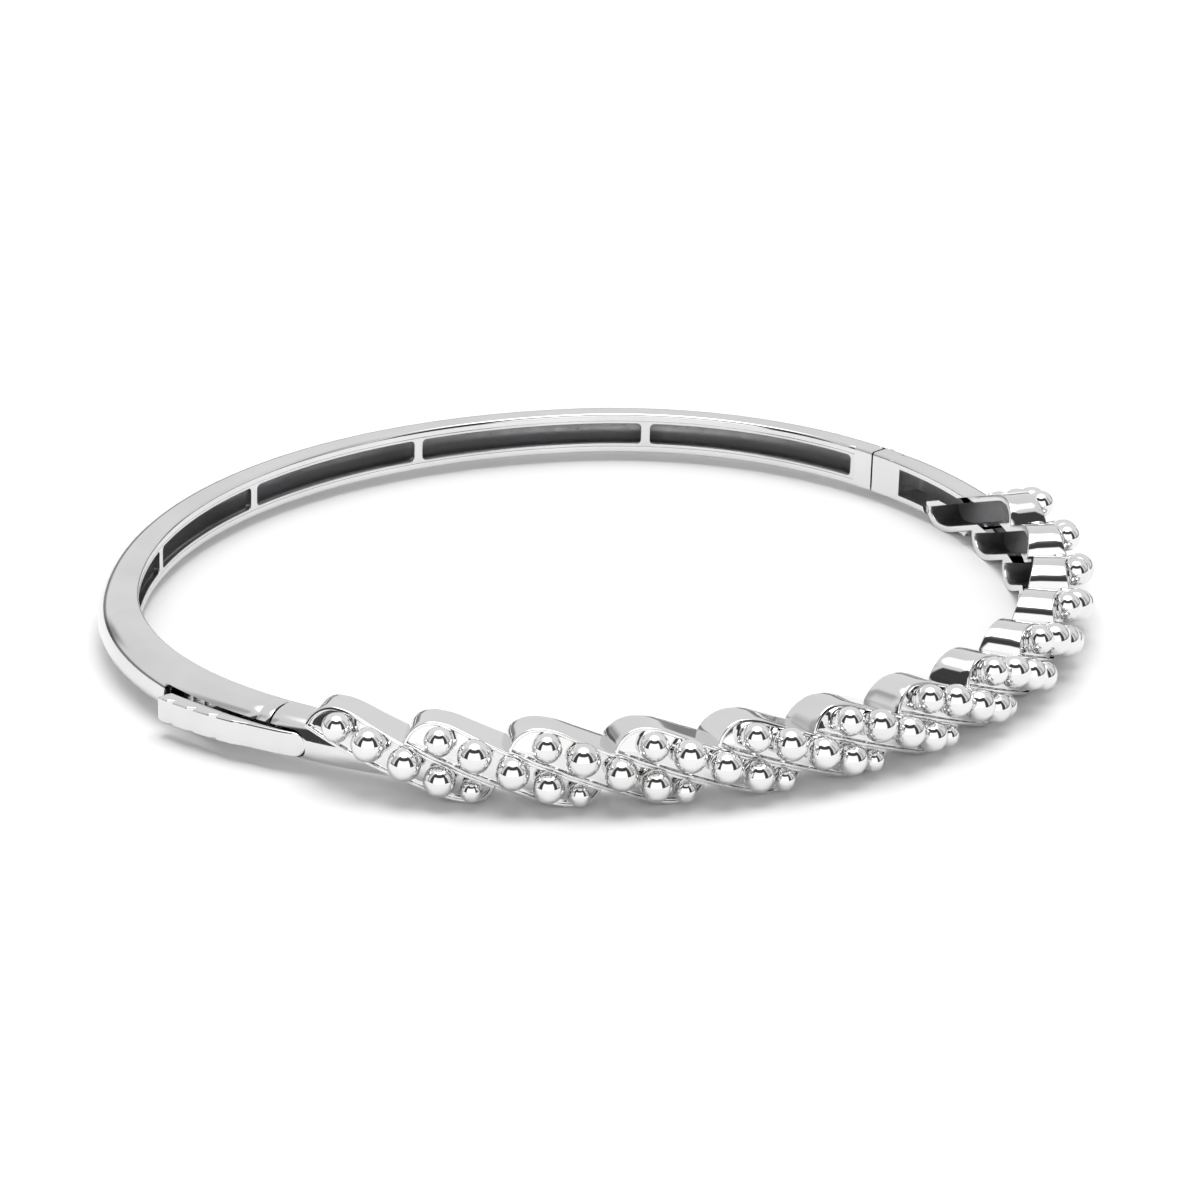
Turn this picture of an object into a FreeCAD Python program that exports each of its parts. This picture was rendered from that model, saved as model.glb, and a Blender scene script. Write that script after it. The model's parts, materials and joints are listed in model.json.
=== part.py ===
import FreeCAD, Part
import math
import os

# Hinged bangle bracelet, millimetres. X runs from the clasp (-X) to the hinge (+X),
# -Y is the decorated front half, +Y the plain rear half, +Z is up.
# The origin is under the middle of the bracelet, on the plane the lobes rest on.

V = FreeCAD.Vector
UP = V(0, 0, 1)

# Plan of the inner face
HALF_WIDTH = 30.0          # centre to inner face along X
FRONT_DEPTH = 28.8         # centre to inner face along -Y
REAR_DEPTH = 24.9          # centre to inner face along +Y
FRONT_END_RADIUS = 27.4
REAR_END_RADIUS = 22.0
PLAN_CENTRE = (0.454, 3.1)  # from the middle of the overall box to the plan's centre

# Plain band section
BAND_HEIGHT = 2.9
BAND_THICKNESS = 2.6
BAND_FLAT = 1.1            # flat run of the top before the outer face rounds over
BAND_MID_Z = 2.05
WALL = 0.5
EDGE_ROUND = 0.22

# Decorated front half
PANEL_COUNT = 13
PANEL_MID_Z = 2.5
PANEL_HALF_HEIGHT = 2.5
PANEL_PITCH = 6.26         # along the outer face
PANEL_SLOPE = 0.39         # fall of the ribbon per unit of length
PANEL_HALF_LENGTH = 5.85
SHOULDER_RADIUS = 4.1
PANEL_BACK = 0.45          # depth from the inner face to the open back of a panel, at its middle
BACK_SLANT = 0.35          # how much deeper the back is at the top, and shallower at the bottom
PANEL_FACE = 3.4
PANEL_CROWN = 0.62         # how much the face falls back at the lobes
RIM_WIDTH = 0.2
PANEL_WALL = 0.42
POCKET_DEPTH = 0.3
FLOOR_THICKNESS = 0.5
TROUGH_DEPTH = 2.3         # channel that joins the hollow backs, depth from the inner face
TROUGH_HALF_HEIGHT = 0.62
MIDDLE_PANEL_SHIFT = -1.67  # middle panel, towards the clasp from the middle of the front half
SHOULDER_TIPS = (0.75, 0.5)  # where the shoulders stop, past the middles of the end panels

# Beads of one panel: along the band, height, radius
BEADS = (
    (-3.62, 1.60, 0.90),
    (-1.52, 0.97, 1.03),
    (0.69, 0.08, 1.01),
    (2.76, -0.76, 0.96),
    (4.58, -1.35, 0.70),
)
BEAD_SEAT = 0.8            # height of a bead's centre over the panel's floor, per unit of its radius

# Joints between the two halves
JOINT_BACK = 3.0           # arc length from the X axis to each joint, on the front side
JOINT_GAP = 0.14

# Hinge
HINGE_DEPTH = 1.9          # pin axis from the inner face
BARREL_RADIUS = 0.6
BARREL_CLEARANCE = 0.2
MID_KNUCKLE_HALF = 0.38
OUTER_KNUCKLE_FROM = 0.48
KNUCKLE_RELIEF = 0.03      # how far each block is cut clear of the other half's knuckle
PIN_RADIUS = 0.3
PIN_RUNNING = 0.03
PIN_SEAT = 0.01
PIN_HALF_LENGTH = 1.15
HINGE_END_LENGTH = 1.6
CAP_LENGTH = 0.9           # end wall of the rear half at the clasp

# Inner plate of the rear half: windows counted from the hinge, and the ribs between them
WINDOW_LENGTHS = (15.1, 16.0, 14.2, 12.7, 12.4)
WINDOW_HALF_HEIGHT = 0.74
WINDOW_CORNER = 0.3
RIB_WIDTH = 0.64

# Thumb tab, along the outer face
TAB_REAR = -4.6            # arc length of the ridged end
TAB_FRONT = 5.3
TAB_MID_Z = 1.9
TAB_HALF_HEIGHT = 0.78
TAB_HEEL_GAP = 0.35        # slot beyond the ridged end
TAB_BASE = 1.95
TAB_TILT = 6.0             # degrees by which the ridged end stands off the band
TAB_PIVOT = 4.3            # arc length about which it is tilted
# Outer side of the tab: distance from the ridged end, distance from the inner face
TAB_PROFILE = (
    (0.0, 2.40), (0.12, 2.68), (0.35, 2.86), (0.75, 2.93),
    (1.02, 2.90), (1.40, 2.64), (1.46, 2.92),
    (2.48, 2.88), (2.88, 2.62), (2.94, 2.89),
    (3.98, 2.85), (4.40, 2.60), (4.46, 2.86),
    (5.50, 2.84), (5.90, 2.76), (6.40, 2.68), (7.00, 2.68), (8.40, 2.67), (9.50, 2.62), (9.90, 2.50),
)
SLOT_MARGIN = 0.14
SLOT_FLOOR = 1.55
OUTSIDE = 4.0              # a depth beyond the band's outer face

# Tongue: straight leaves, placed by distance out from the inner face at the X axis and forward from it
LEAF_HALF_HEIGHT = 0.6
LOWER_LEAF = (0.36, 0.52)
LEAF_REAR = -5.2
PAD_LENGTH = 2.0           # soldered end of the lower leaf, seated in the inner plate
SEAT_MARGIN = 0.03
FOLD = (0.62, 6.0)
FOLD_RADIUS = 0.26
UPPER_LEAF_THICKNESS = 0.18
UPPER_LEAF_NOSE = (0.68, 5.6)
UPPER_LEAF_END = (1.14, -1.2)
NECK = (-1.1, 1.1)
CATCH = (3.75, 4.35)
CATCH_TOP = 1.04
KEEPER = (1.09, 1.29)
KEEPER_FORWARD = (0.15, 0.6)  # from the joint face
BOX_FLOOR = 0.4
BOX_ROOF = 2.1
BOX_END = 7.3
CAVITY_DEPTH = 2.0         # open back of the shoulder beside the hinge
CAVITY_WALL = 1.0          # left solid before the hinge block


def make_arcs():
    """The inner face as tangent arcs, from the clasp through the front, the hinge and the rear."""

    def half(depth, end_radius):
        offset = HALF_WIDTH - end_radius
        middle = (end_radius ** 2 - offset ** 2 - depth ** 2) / (2 * (end_radius - depth))
        turn = math.atan2(middle - depth, offset)
        return offset, middle, turn

    arcs = []
    offset, middle, turn = half(FRONT_DEPTH, FRONT_END_RADIUS)
    arcs.append((V(-offset, 0, 0), FRONT_END_RADIUS, math.pi, math.pi + turn))
    arcs.append((V(0, middle - FRONT_DEPTH, 0), middle, math.pi + turn, 2 * math.pi - turn))
    arcs.append((V(offset, 0, 0), FRONT_END_RADIUS, 2 * math.pi - turn, 2 * math.pi))
    offset, middle, turn = half(REAR_DEPTH, REAR_END_RADIUS)
    arcs.append((V(offset, 0, 0), REAR_END_RADIUS, 2 * math.pi, 2 * math.pi + turn))
    arcs.append((V(0, REAR_DEPTH - middle, 0), middle, 2 * math.pi + turn, 3 * math.pi - turn))
    arcs.append((V(-offset, 0, 0), REAR_END_RADIUS, 3 * math.pi - turn, 3 * math.pi))
    return arcs


ARCS = make_arcs()
LENGTHS = [radius * (end - start) for centre, radius, start, end in ARCS]
FRONT_LENGTH = sum(LENGTHS[:3])
LOOP_LENGTH = sum(LENGTHS)
HINGE_S = FRONT_LENGTH - JOINT_BACK
CLASP_S = JOINT_BACK
REAR_CLASP_S = LOOP_LENGTH + CLASP_S


def arc_at(s):
    """Centre, radius and angle of the inner face at arc length s from the clasp end of the X axis."""
    s = s % LOOP_LENGTH
    for (centre, radius, start, end), length in zip(ARCS, LENGTHS):
        if s <= length:
            return centre, radius, start + s / radius
        s -= length
    return ARCS[-1][0], ARCS[-1][1], ARCS[-1][3]


def place(s, r, z):
    """Point at arc length s, distance r outward from the inner face and height z."""
    centre, radius, angle = arc_at(s)
    return centre + V(math.cos(angle), math.sin(angle), 0) * (radius + r) + UP * z


def outward(s):
    angle = arc_at(s)[2]
    return V(math.cos(angle), math.sin(angle), 0)


def along(s):
    angle = arc_at(s)[2]
    return V(-math.sin(angle), math.cos(angle), 0)


def band(edges, s0, s1):
    """Sweeps a section of edges, drawn as (outward, 0, height), along the inner face from s0 to s1."""
    pieces = []
    loops = int(math.floor(s0 / LOOP_LENGTH))
    base = loops * LOOP_LENGTH
    index = 0
    while base < s1 - 1e-6:
        centre, radius, start, end = ARCS[index % 6]
        length = LENGTHS[index % 6]
        low = max(s0, base)
        high = min(s1, base + length)
        if high - low > 1e-6:
            face = Part.Face(Part.Wire(Part.__sortEdges__([e.copy() for e in edges])))
            face.translate(centre + V(radius, 0, 0))
            face.rotate(centre, UP, math.degrees(start + (low - base) / radius))
            pieces.append(face.revolve(centre, UP, math.degrees((high - low) / radius)))
        base += length
        index += 1
    solid = pieces[0]
    if len(pieces) > 1:
        solid = solid.multiFuse(pieces[1:]).removeSplitter()
    return solid


def line(a, b):
    return Part.makeLine(V(a[0], 0, a[1]), V(b[0], 0, b[1]))


def arc(a, m, b):
    return Part.Arc(V(a[0], 0, a[1]), V(m[0], 0, m[1]), V(b[0], 0, b[1])).toShape()


def rectangle(r0, r1, z0, z1):
    corners = [(r0, z0), (r1, z0), (r1, z1), (r0, z1)]
    return [line(corners[i], corners[(i + 1) % 4]) for i in range(4)]


def d_section(inset, mid=BAND_MID_Z):
    """The band's section: flat inner face, flat top and bottom, domed outer face."""
    half = BAND_HEIGHT / 2 - inset
    r0 = inset
    dome = BAND_THICKNESS - BAND_FLAT - inset
    e = EDGE_ROUND
    k = math.sqrt(0.5)
    c = e * (1 - k)
    f = BAND_FLAT
    if inset > 0:
        edges = [line((r0, mid - half), (r0, mid + half)), line((r0, mid + half), (f, mid + half))]
        edges += [line((f, mid - half), (r0, mid - half))]
    else:
        edges = [line((r0, mid - half + e), (r0, mid + half - e))]
        edges += [arc((r0, mid + half - e), (r0 + c, mid + half - c), (r0 + e, mid + half))]
        edges += [line((r0 + e, mid + half), (f, mid + half)), line((f, mid - half), (r0 + e, mid - half))]
        edges += [arc((r0 + e, mid - half), (r0 + c, mid - half + c), (r0, mid - half + e))]
    edges += [arc((f, mid + half), (f + dome * k, mid + half * k), (f + dome, mid))]
    edges += [arc((f + dome, mid), (f + dome * k, mid - half * k), (f, mid - half))]
    return edges


def crowned(r0, r1, slant=0.0, half=PANEL_HALF_HEIGHT + 0.6):
    """Section of the front half between two depths, its outer side bowed and its inner side slanted."""
    part = half / PANEL_HALF_HEIGHT
    fall = PANEL_CROWN * part ** 2
    low = (r1 - fall, PANEL_MID_Z - half)
    high = (r1 - fall, PANEL_MID_Z + half)
    inner_low = (r0 - slant * part, PANEL_MID_Z - half)
    inner_high = (r0 + slant * part, PANEL_MID_Z + half)
    edges = [line(inner_low, inner_high), line(inner_high, high)]
    edges += [arc(high, (r1, PANEL_MID_Z), low), line(low, inner_low)]
    return edges


def cylinder(x, y, radius, z0, z1):
    return Part.makeCylinder(radius, z1 - z0, V(x, y, z0), UP)


def largest(shape):
    return max(shape.Solids, key=lambda solid: solid.Volume)


def outline(inset):
    """Leaf outline of one panel, along the band and in height, pulled in by inset."""
    half_pitch = PANEL_PITCH / 2
    top = PANEL_HALF_HEIGHT
    tip = (-PANEL_HALF_LENGTH, PANEL_SLOPE * (PANEL_HALF_LENGTH - half_pitch))
    slope = math.atan(PANEL_SLOPE)
    corner = half_pitch - top / PANEL_SLOPE
    tangent = SHOULDER_RADIUS * math.tan(slope / 2)
    crest = (corner - tangent, top)
    joined = (corner + tangent * math.cos(slope), top - tangent * math.sin(slope))
    sag = SHOULDER_RADIUS * (1 - math.cos(slope / 2))
    bend = (crest[0] + SHOULDER_RADIUS * math.sin(slope / 2), top - sag)
    reach = crest[0] - tip[0]
    drop = top - tip[1]
    lobe = (reach ** 2 + drop ** 2) / (2 * drop)
    centre = (crest[0], top - lobe)
    turn = math.atan2(reach, lobe - drop) / 2
    side = (centre[0] - lobe * math.sin(turn), centre[1] + lobe * math.cos(turn))
    upper = [arc(tip, side, crest), arc(crest, bend, joined)]
    upper += [line(joined, (-tip[0], -tip[1]))]
    lower = [edge.copy().rotate(V(0, 0, 0), V(0, 1, 0), 180) for edge in upper]
    edges = Part.__sortEdges__(upper + lower)
    face = Part.Face(Part.Wire(edges))
    if inset:
        face = face.makeOffset2D(-inset, 2)
    return face


def panel_s(k):
    """Arc length, on the inner face, of the middle of panel k."""
    shrink = FRONT_LENGTH / (FRONT_LENGTH + math.pi * PANEL_FACE)
    return FRONT_LENGTH / 2 + (MIDDLE_PANEL_SHIFT + (k - PANEL_COUNT // 2) * PANEL_PITCH) * shrink


def leaf(k, inset):
    """Prism through the band with panel k's outline."""
    s = panel_s(k)
    face = outline(inset)
    base = place(s, -1.5, PANEL_MID_Z)
    turn = FreeCAD.Rotation(along(s), outward(s), UP, "ZXY")
    face.Placement = FreeCAD.Placement(base, turn).multiply(face.Placement)
    return face.extrude(outward(s) * 7.0)


def panel(k):
    """A leaf-shaped cup: rim and recessed floor in front, open at the back and into its neighbours."""
    s = panel_s(k)
    reach = PANEL_HALF_LENGTH + 1.2
    body = leaf(k, 0).common(band(crowned(PANEL_BACK, PANEL_FACE, BACK_SLANT), s - reach, s + reach))
    floor_top = PANEL_FACE - POCKET_DEPTH
    pocket = leaf(k, RIM_WIDTH).cut(band(crowned(-3.0, floor_top), s - reach, s + reach))
    behind = band(crowned(-1.0, floor_top - FLOOR_THICKNESS), s - reach, s + reach)
    hollow = leaf(k, PANEL_WALL).common(behind)
    low = PANEL_MID_Z - TROUGH_HALF_HEIGHT
    high = PANEL_MID_Z + TROUGH_HALF_HEIGHT
    trough = band(rectangle(-1.0, TROUGH_DEPTH, low, high), s - reach, s + reach)
    return body.cut(pocket).cut(hollow).cut(trough)


def beads(k):
    s = panel_s(k)
    face_shrink = arc_at(s)[1] / (arc_at(s)[1] + PANEL_FACE)
    balls = []
    for u, z, radius in BEADS:
        fall = PANEL_CROWN * (z / PANEL_HALF_HEIGHT) ** 2
        depth = PANEL_FACE - POCKET_DEPTH - fall + BEAD_SEAT * radius
        centre = place(s + u * face_shrink, depth, PANEL_MID_Z + z)
        balls.append(Part.makeSphere(radius, centre))
    return Part.makeCompound(balls)


def hinge_xy():
    return place(HINGE_S, HINGE_DEPTH, 0)


def hinge_end(front):
    """Solid end of one half at the hinge, with its knuckles round the pin."""
    pin = hinge_xy()
    low = BAND_MID_Z - BAND_HEIGHT
    high = BAND_MID_Z + BAND_HEIGHT
    relief = BARREL_RADIUS + BARREL_CLEARANCE
    if front:
        block = band(d_section(0), HINGE_S - HINGE_END_LENGTH, HINGE_S - JOINT_GAP / 2)
        inner_end = OUTER_KNUCKLE_FROM
        half = inner_end - KNUCKLE_RELIEF
        block = block.cut(cylinder(pin.x, pin.y, relief, BAND_MID_Z - half, BAND_MID_Z + half))
        barrel = cylinder(pin.x, pin.y, BARREL_RADIUS, low, high)
        barrel = barrel.cut(cylinder(pin.x, pin.y, 1.0, BAND_MID_Z - inner_end, BAND_MID_Z + inner_end))
        bore = PIN_RADIUS + PIN_SEAT
    else:
        block = band(d_section(0), HINGE_S + JOINT_GAP / 2, HINGE_S + HINGE_END_LENGTH)
        end = MID_KNUCKLE_HALF
        half = end + KNUCKLE_RELIEF
        block = block.cut(cylinder(pin.x, pin.y, relief, low, BAND_MID_Z - half))
        block = block.cut(cylinder(pin.x, pin.y, relief, BAND_MID_Z + half, high))
        barrel = cylinder(pin.x, pin.y, BARREL_RADIUS, BAND_MID_Z - end, BAND_MID_Z + end)
        bore = PIN_RADIUS + PIN_RUNNING
    barrel = barrel.common(band(d_section(0), HINGE_S - 2.5, HINGE_S + 2.5))
    return block.fuse(barrel).cut(cylinder(pin.x, pin.y, bore, low, high)).removeSplitter()


def hinge_pin():
    pin = hinge_xy()
    return cylinder(pin.x, pin.y, PIN_RADIUS, BAND_MID_Z - PIN_HALF_LENGTH, BAND_MID_Z + PIN_HALF_LENGTH)


def tab_slot(s0, s1):
    """Slot through the band's outer wall that the thumb tab lies in."""
    half = TAB_HALF_HEIGHT + SLOT_MARGIN
    return band(rectangle(SLOT_FLOOR, OUTSIDE, TAB_MID_Z - half, TAB_MID_Z + half), s0, s1)


def tilted(shape):
    """Turns part of the tab about its tail, so that the ridged end stands off the band."""
    turned = shape.copy()
    turned.rotate(place(TAB_PIVOT, TAB_BASE, 0), UP, TAB_TILT)
    return turned


def rear_shell():
    """Channel of the rear half: top, bottom and outer wall."""
    s0 = HINGE_S + HINGE_END_LENGTH
    s1 = REAR_CLASP_S - CAP_LENGTH
    shell = band(d_section(0), s0, s1)
    half = BAND_HEIGHT / 2 - WALL
    hollow = band(d_section(WALL), s0, s1)
    mouth = band(rectangle(-0.5, WALL + 0.01, BAND_MID_Z - half, BAND_MID_Z + half), s0, s1)
    slot = tab_slot(LOOP_LENGTH + TAB_REAR - TAB_HEEL_GAP, s1)
    return shell.cut(hollow).cut(mouth).cut(slot)


def rear_plate():
    """Ladder-shaped inner plate that closes the channel's open side."""
    s0 = HINGE_S + HINGE_END_LENGTH
    s1 = REAR_CLASP_S - CAP_LENGTH
    half = BAND_HEIGHT / 2 - WALL
    plate = band(rectangle(0.0, WALL, BAND_MID_Z - half, BAND_MID_Z + half), s0, s1)
    opening = rectangle(-0.5, 1.0, BAND_MID_Z - WINDOW_HALF_HEIGHT, BAND_MID_Z + WINDOW_HALF_HEIGHT)
    start = s0 + RIB_WIDTH / 2
    for length in WINDOW_LENGTHS:
        plate = plate.cut(band(opening, start, start + length))
        start += length + RIB_WIDTH
    corners = [edge for edge in plate.Edges if is_window_corner(edge)]
    plate = plate.makeFillet(WINDOW_CORNER, corners)
    seat_floor = LOWER_LEAF[0] - SEAT_MARGIN
    seat = block((seat_floor, 1.0), (LEAF_REAR + PAD_LENGTH, CLASP_S), LEAF_HALF_HEIGHT + 0.05)
    return plate.cut(seat)


def is_window_corner(edge):
    """Whether an edge crosses the inner plate at the height of a window's top or bottom."""
    a, b = [vertex.Point for vertex in edge.Vertexes][:2] if len(edge.Vertexes) == 2 else (UP, UP)
    level = abs(abs(a.z - BAND_MID_Z) - WINDOW_HALF_HEIGHT) < 1e-4
    return level and abs(a.z - b.z) < 1e-4 and abs(a.distanceToPoint(b) - WALL) < 0.01


def rear_clasp_cap():
    """End wall of the rear half at the clasp, with the opening that the tongue comes out of."""
    s0 = REAR_CLASP_S - CAP_LENGTH
    s1 = REAR_CLASP_S - JOINT_GAP / 2
    cap = band(d_section(0), s0, s1)
    half = LEAF_HALF_HEIGHT + 0.15
    opening = band(rectangle(BOX_FLOOR - 0.05, OUTSIDE, BAND_MID_Z - half, BAND_MID_Z + half), s0, s1)
    return cap.cut(opening).cut(tab_slot(s0, s1))


def clasp_shoulder():
    """Plain start of the front half at the clasp: the box that takes the tongue."""
    s0 = CLASP_S + JOINT_GAP / 2
    s1 = panel_s(0) + SHOULDER_TIPS[0]
    shell = band(d_section(0), s0, s1)
    half = BAND_HEIGHT / 2 - WALL
    hollow = band(rectangle(BOX_FLOOR, BOX_ROOF, BAND_MID_Z - half, BAND_MID_Z + half), s0, BOX_END)
    slot = tab_slot(s0, TAB_FRONT + SLOT_MARGIN)
    return largest(shell.cut(hollow).cut(slot).cut(leaf(0, 0)))


def hinge_shoulder():
    """Plain end of the front half at the hinge, open at the back."""
    s0 = panel_s(PANEL_COUNT - 1) + SHOULDER_TIPS[1]
    s1 = HINGE_S - HINGE_END_LENGTH
    shell = band(d_section(0), s0, s1)
    half = BAND_HEIGHT / 2 - WALL
    section = rectangle(-0.5, CAVITY_DEPTH, BAND_MID_Z - half, BAND_MID_Z + half)
    hollow = band(section, s0, s1 - CAVITY_WALL)
    return largest(shell.cut(hollow).cut(leaf(PANEL_COUNT - 1, 0)))


def slab(corners, half=LEAF_HALF_HEIGHT):
    """Upright prism at the clasp, its corners given as (out, forward)."""
    points = [V(-HALF_WIDTH - out, -forward, BAND_MID_Z - half) for out, forward in corners]
    return Part.Face(Part.makePolygon(points + points[:1])).extrude(UP * 2 * half)


def block(outs, forwards, half=LEAF_HALF_HEIGHT):
    o0, o1 = outs
    f0, f1 = forwards
    return slab([(o0, f0), (o1, f0), (o1, f1), (o0, f1)], half)


def keeper():
    """Bar across the mouth of the box, behind which the catch rests."""
    start, end = KEEPER_FORWARD
    return block(KEEPER, (CLASP_S + start, CLASP_S + end), BAND_HEIGHT / 2 - WALL)


def lower_leaf():
    """Fixed leaf of the tongue, anchored inside the rear half, with the fold at its nose."""
    z0 = BAND_MID_Z - LEAF_HALF_HEIGHT
    z1 = BAND_MID_Z + LEAF_HALF_HEIGHT
    blade = block(LOWER_LEAF, (LEAF_REAR, FOLD[1]))
    pad = band(rectangle(WALL, 0.95, z0, z1), LOOP_LENGTH + LEAF_REAR, LOOP_LENGTH + LEAF_REAR + PAD_LENGTH)
    knot = cylinder(-HALF_WIDTH - FOLD[0], -FOLD[1], FOLD_RADIUS, z0, z1)
    return blade.multiFuse([pad, knot]).removeSplitter()


def upper_leaf_out(forward):
    """Outer side of the springing leaf at a distance forward."""
    part = (forward - UPPER_LEAF_NOSE[1]) / (UPPER_LEAF_END[1] - UPPER_LEAF_NOSE[1])
    inner = UPPER_LEAF_NOSE[0] + part * (UPPER_LEAF_END[0] - UPPER_LEAF_NOSE[0])
    return inner + UPPER_LEAF_THICKNESS


def upper_leaf():
    """Springing leaf of the tongue, from the fold back to the thumb tab."""
    thick = UPPER_LEAF_THICKNESS
    nose, end = UPPER_LEAF_NOSE, UPPER_LEAF_END
    return slab([nose, (nose[0] + thick, nose[1]), (end[0] + thick, end[1]), end])


def catch_lug():
    """Low shoulder on the springing leaf that rests behind the keeper."""
    f0, f1 = CATCH
    return slab([(upper_leaf_out(f0), f0), (CATCH_TOP, f0), (CATCH_TOP, f1), (upper_leaf_out(f1), f1)])


def tab_neck():
    """Post that carries the thumb tab on the springing leaf."""
    f0, f1 = NECK
    reach = TAB_BASE + 1.5
    post = slab([(upper_leaf_out(f0), f0), (reach, f0), (reach, f1), (upper_leaf_out(f1), f1)])
    tab_side = band(rectangle(TAB_BASE, 6.0, -1.0, 6.0), LOOP_LENGTH - 3.0, LOOP_LENGTH + 3.0)
    return post.cut(tilted(tab_side))


def thumb_tab():
    """Tab on the outer face, with three grip notches, a saddle and a rounded tail."""
    start = LOOP_LENGTH + TAB_REAR
    length = TAB_FRONT - TAB_REAR
    inside = TAB_BASE - 1
    z0 = TAB_MID_Z - TAB_HALF_HEIGHT
    z1 = TAB_MID_Z + TAB_HALF_HEIGHT
    outer = [place(start + x, r, z0) for x, r in TAB_PROFILE]
    above = band(rectangle(TAB_BASE, OUTSIDE, z0 - 1, z1 + 1), start, start + length)
    points = [place(start, inside, z0)] + outer + [place(start + length, inside, z0)]
    body = Part.Face(Part.makePolygon(points + points[:1])).extrude(UP * 2 * TAB_HALF_HEIGHT)
    tail_s = start + length - TAB_HALF_HEIGHT
    tail = Part.makeCylinder(TAB_HALF_HEIGHT, OUTSIDE, place(tail_s, inside, TAB_MID_Z), outward(tail_s))
    square = band(rectangle(inside, OUTSIDE, z0 - 1, z1 + 1), start - 1, tail_s)
    return tilted(largest(body.common(above).common(square.fuse(tail))))


def export(name, shape):
    solids = shape.Solids
    result = solids[0] if len(solids) == 1 else Part.makeCompound(solids)
    result.translate(V(PLAN_CENTRE[0], PLAN_CENTRE[1], 0))
    if not all(solid.isValid() and solid.isClosed() for solid in solids):
        print("NOT VALID", name)
    print(name, len(solids), round(result.Volume, 2))
    result.exportStep(os.path.join("parts", name + ".step"))


os.makedirs("parts", exist_ok=True)
for number in range(PANEL_COUNT):
    export("panel_%02d" % (number + 1), panel(number))
    export("beads_%02d" % (number + 1), beads(number))
export("clasp_shoulder", clasp_shoulder())
export("hinge_shoulder", hinge_shoulder())
export("keeper_bar", keeper())
export("front_hinge_knuckle", hinge_end(True))
export("rear_hinge_knuckle", hinge_end(False))
export("hinge_pin", hinge_pin())
export("rear_shell", rear_shell())
export("rear_inner_plate", rear_plate())
export("rear_clasp_cap", rear_clasp_cap())
export("tongue_lower_leaf", lower_leaf())
export("tongue_upper_leaf", upper_leaf())
export("catch_lug", catch_lug())
export("tab_neck", tab_neck())
export("thumb_tab", thumb_tab())
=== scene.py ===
import math

import json
import bmesh
import bpy
from mathutils import Matrix, Vector


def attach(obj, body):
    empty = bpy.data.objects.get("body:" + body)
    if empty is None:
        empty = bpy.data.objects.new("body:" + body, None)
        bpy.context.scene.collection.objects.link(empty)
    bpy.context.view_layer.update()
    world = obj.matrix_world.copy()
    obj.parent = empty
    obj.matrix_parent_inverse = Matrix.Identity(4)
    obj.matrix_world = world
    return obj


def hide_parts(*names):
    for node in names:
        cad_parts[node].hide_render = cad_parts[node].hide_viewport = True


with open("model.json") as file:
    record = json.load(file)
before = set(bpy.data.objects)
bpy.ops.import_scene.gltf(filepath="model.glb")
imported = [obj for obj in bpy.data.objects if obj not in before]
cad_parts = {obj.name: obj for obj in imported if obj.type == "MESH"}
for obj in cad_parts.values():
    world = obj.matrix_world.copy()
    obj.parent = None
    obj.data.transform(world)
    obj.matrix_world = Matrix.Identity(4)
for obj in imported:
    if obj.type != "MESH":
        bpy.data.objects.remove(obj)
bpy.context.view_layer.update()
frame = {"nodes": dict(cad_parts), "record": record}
MM = 0.001

# ---------------------------------------------------------------- plan of the inner face, millimetres
PLAN_CENTRE = (0.454, 3.1)
HALF_WIDTH, FRONT_DEPTH, REAR_DEPTH = 30.0, 28.8, 24.9
FRONT_END_RADIUS, REAR_END_RADIUS = 27.4, 22.0
BAND_HEIGHT, BAND_THICKNESS, BAND_FLAT, BAND_MID_Z, WALL = 2.9, 2.6, 1.1, 2.05, 0.5
EDGE_ROUND = 0.22
PANEL_COUNT, PANEL_MID_Z, PANEL_HALF_HEIGHT, PANEL_PITCH, PANEL_SLOPE = 13, 2.5, 2.5, 6.26, 0.39
PANEL_HALF_LENGTH, SHOULDER_RADIUS = 5.85, 4.1
PANEL_BACK, BACK_SLANT, PANEL_FACE, PANEL_CROWN, RIM_WIDTH, PANEL_WALL = 0.45, 0.35, 3.4, 0.62, 0.2, 0.42
POCKET_DEPTH, FLOOR_THICKNESS, MIDDLE_PANEL_SHIFT = 0.3, 0.5, -1.67
TROUGH_DEPTH, TROUGH_HALF_HEIGHT = 2.3, 0.62
# Beads of one panel: along the band, height, radius
BEADS = (
    (-3.62, 1.60, 0.90), (-1.52, 0.97, 1.03), (0.69, 0.08, 1.01), (2.76, -0.76, 0.96), (4.58, -1.35, 0.70),
)
BEAD_SEAT = 0.8
JOINT_BACK, JOINT_GAP, HINGE_END_LENGTH, CAP_LENGTH = 3.0, 0.14, 1.6, 0.9
WINDOW_LENGTHS = (15.1, 16.0, 14.2, 12.7, 12.4)
WINDOW_HALF_HEIGHT, WINDOW_CORNER, RIB_WIDTH = 0.74, 0.3, 0.64
TAB_REAR, TAB_FRONT, TAB_MID_Z, TAB_HALF_HEIGHT, TAB_BASE = -4.6, 5.3, 1.9, 0.78, 1.95
TAB_TILT, TAB_PIVOT = 6.0, 4.3
TAB_HEEL_GAP, SLOT_MARGIN, SLOT_FLOOR = 0.35, 0.14, 1.55
BOX_FLOOR, BOX_ROOF, BOX_END = 0.4, 2.1, 7.3
CAVITY_DEPTH, CAVITY_WALL = 2.0, 1.0
SHOULDER_TIPS = (0.75, 0.5)
SOFTENING = 0.04         # rounding of the band's cut edges
OUTSIDE = 4.0            # a depth beyond the band's outer face


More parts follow.
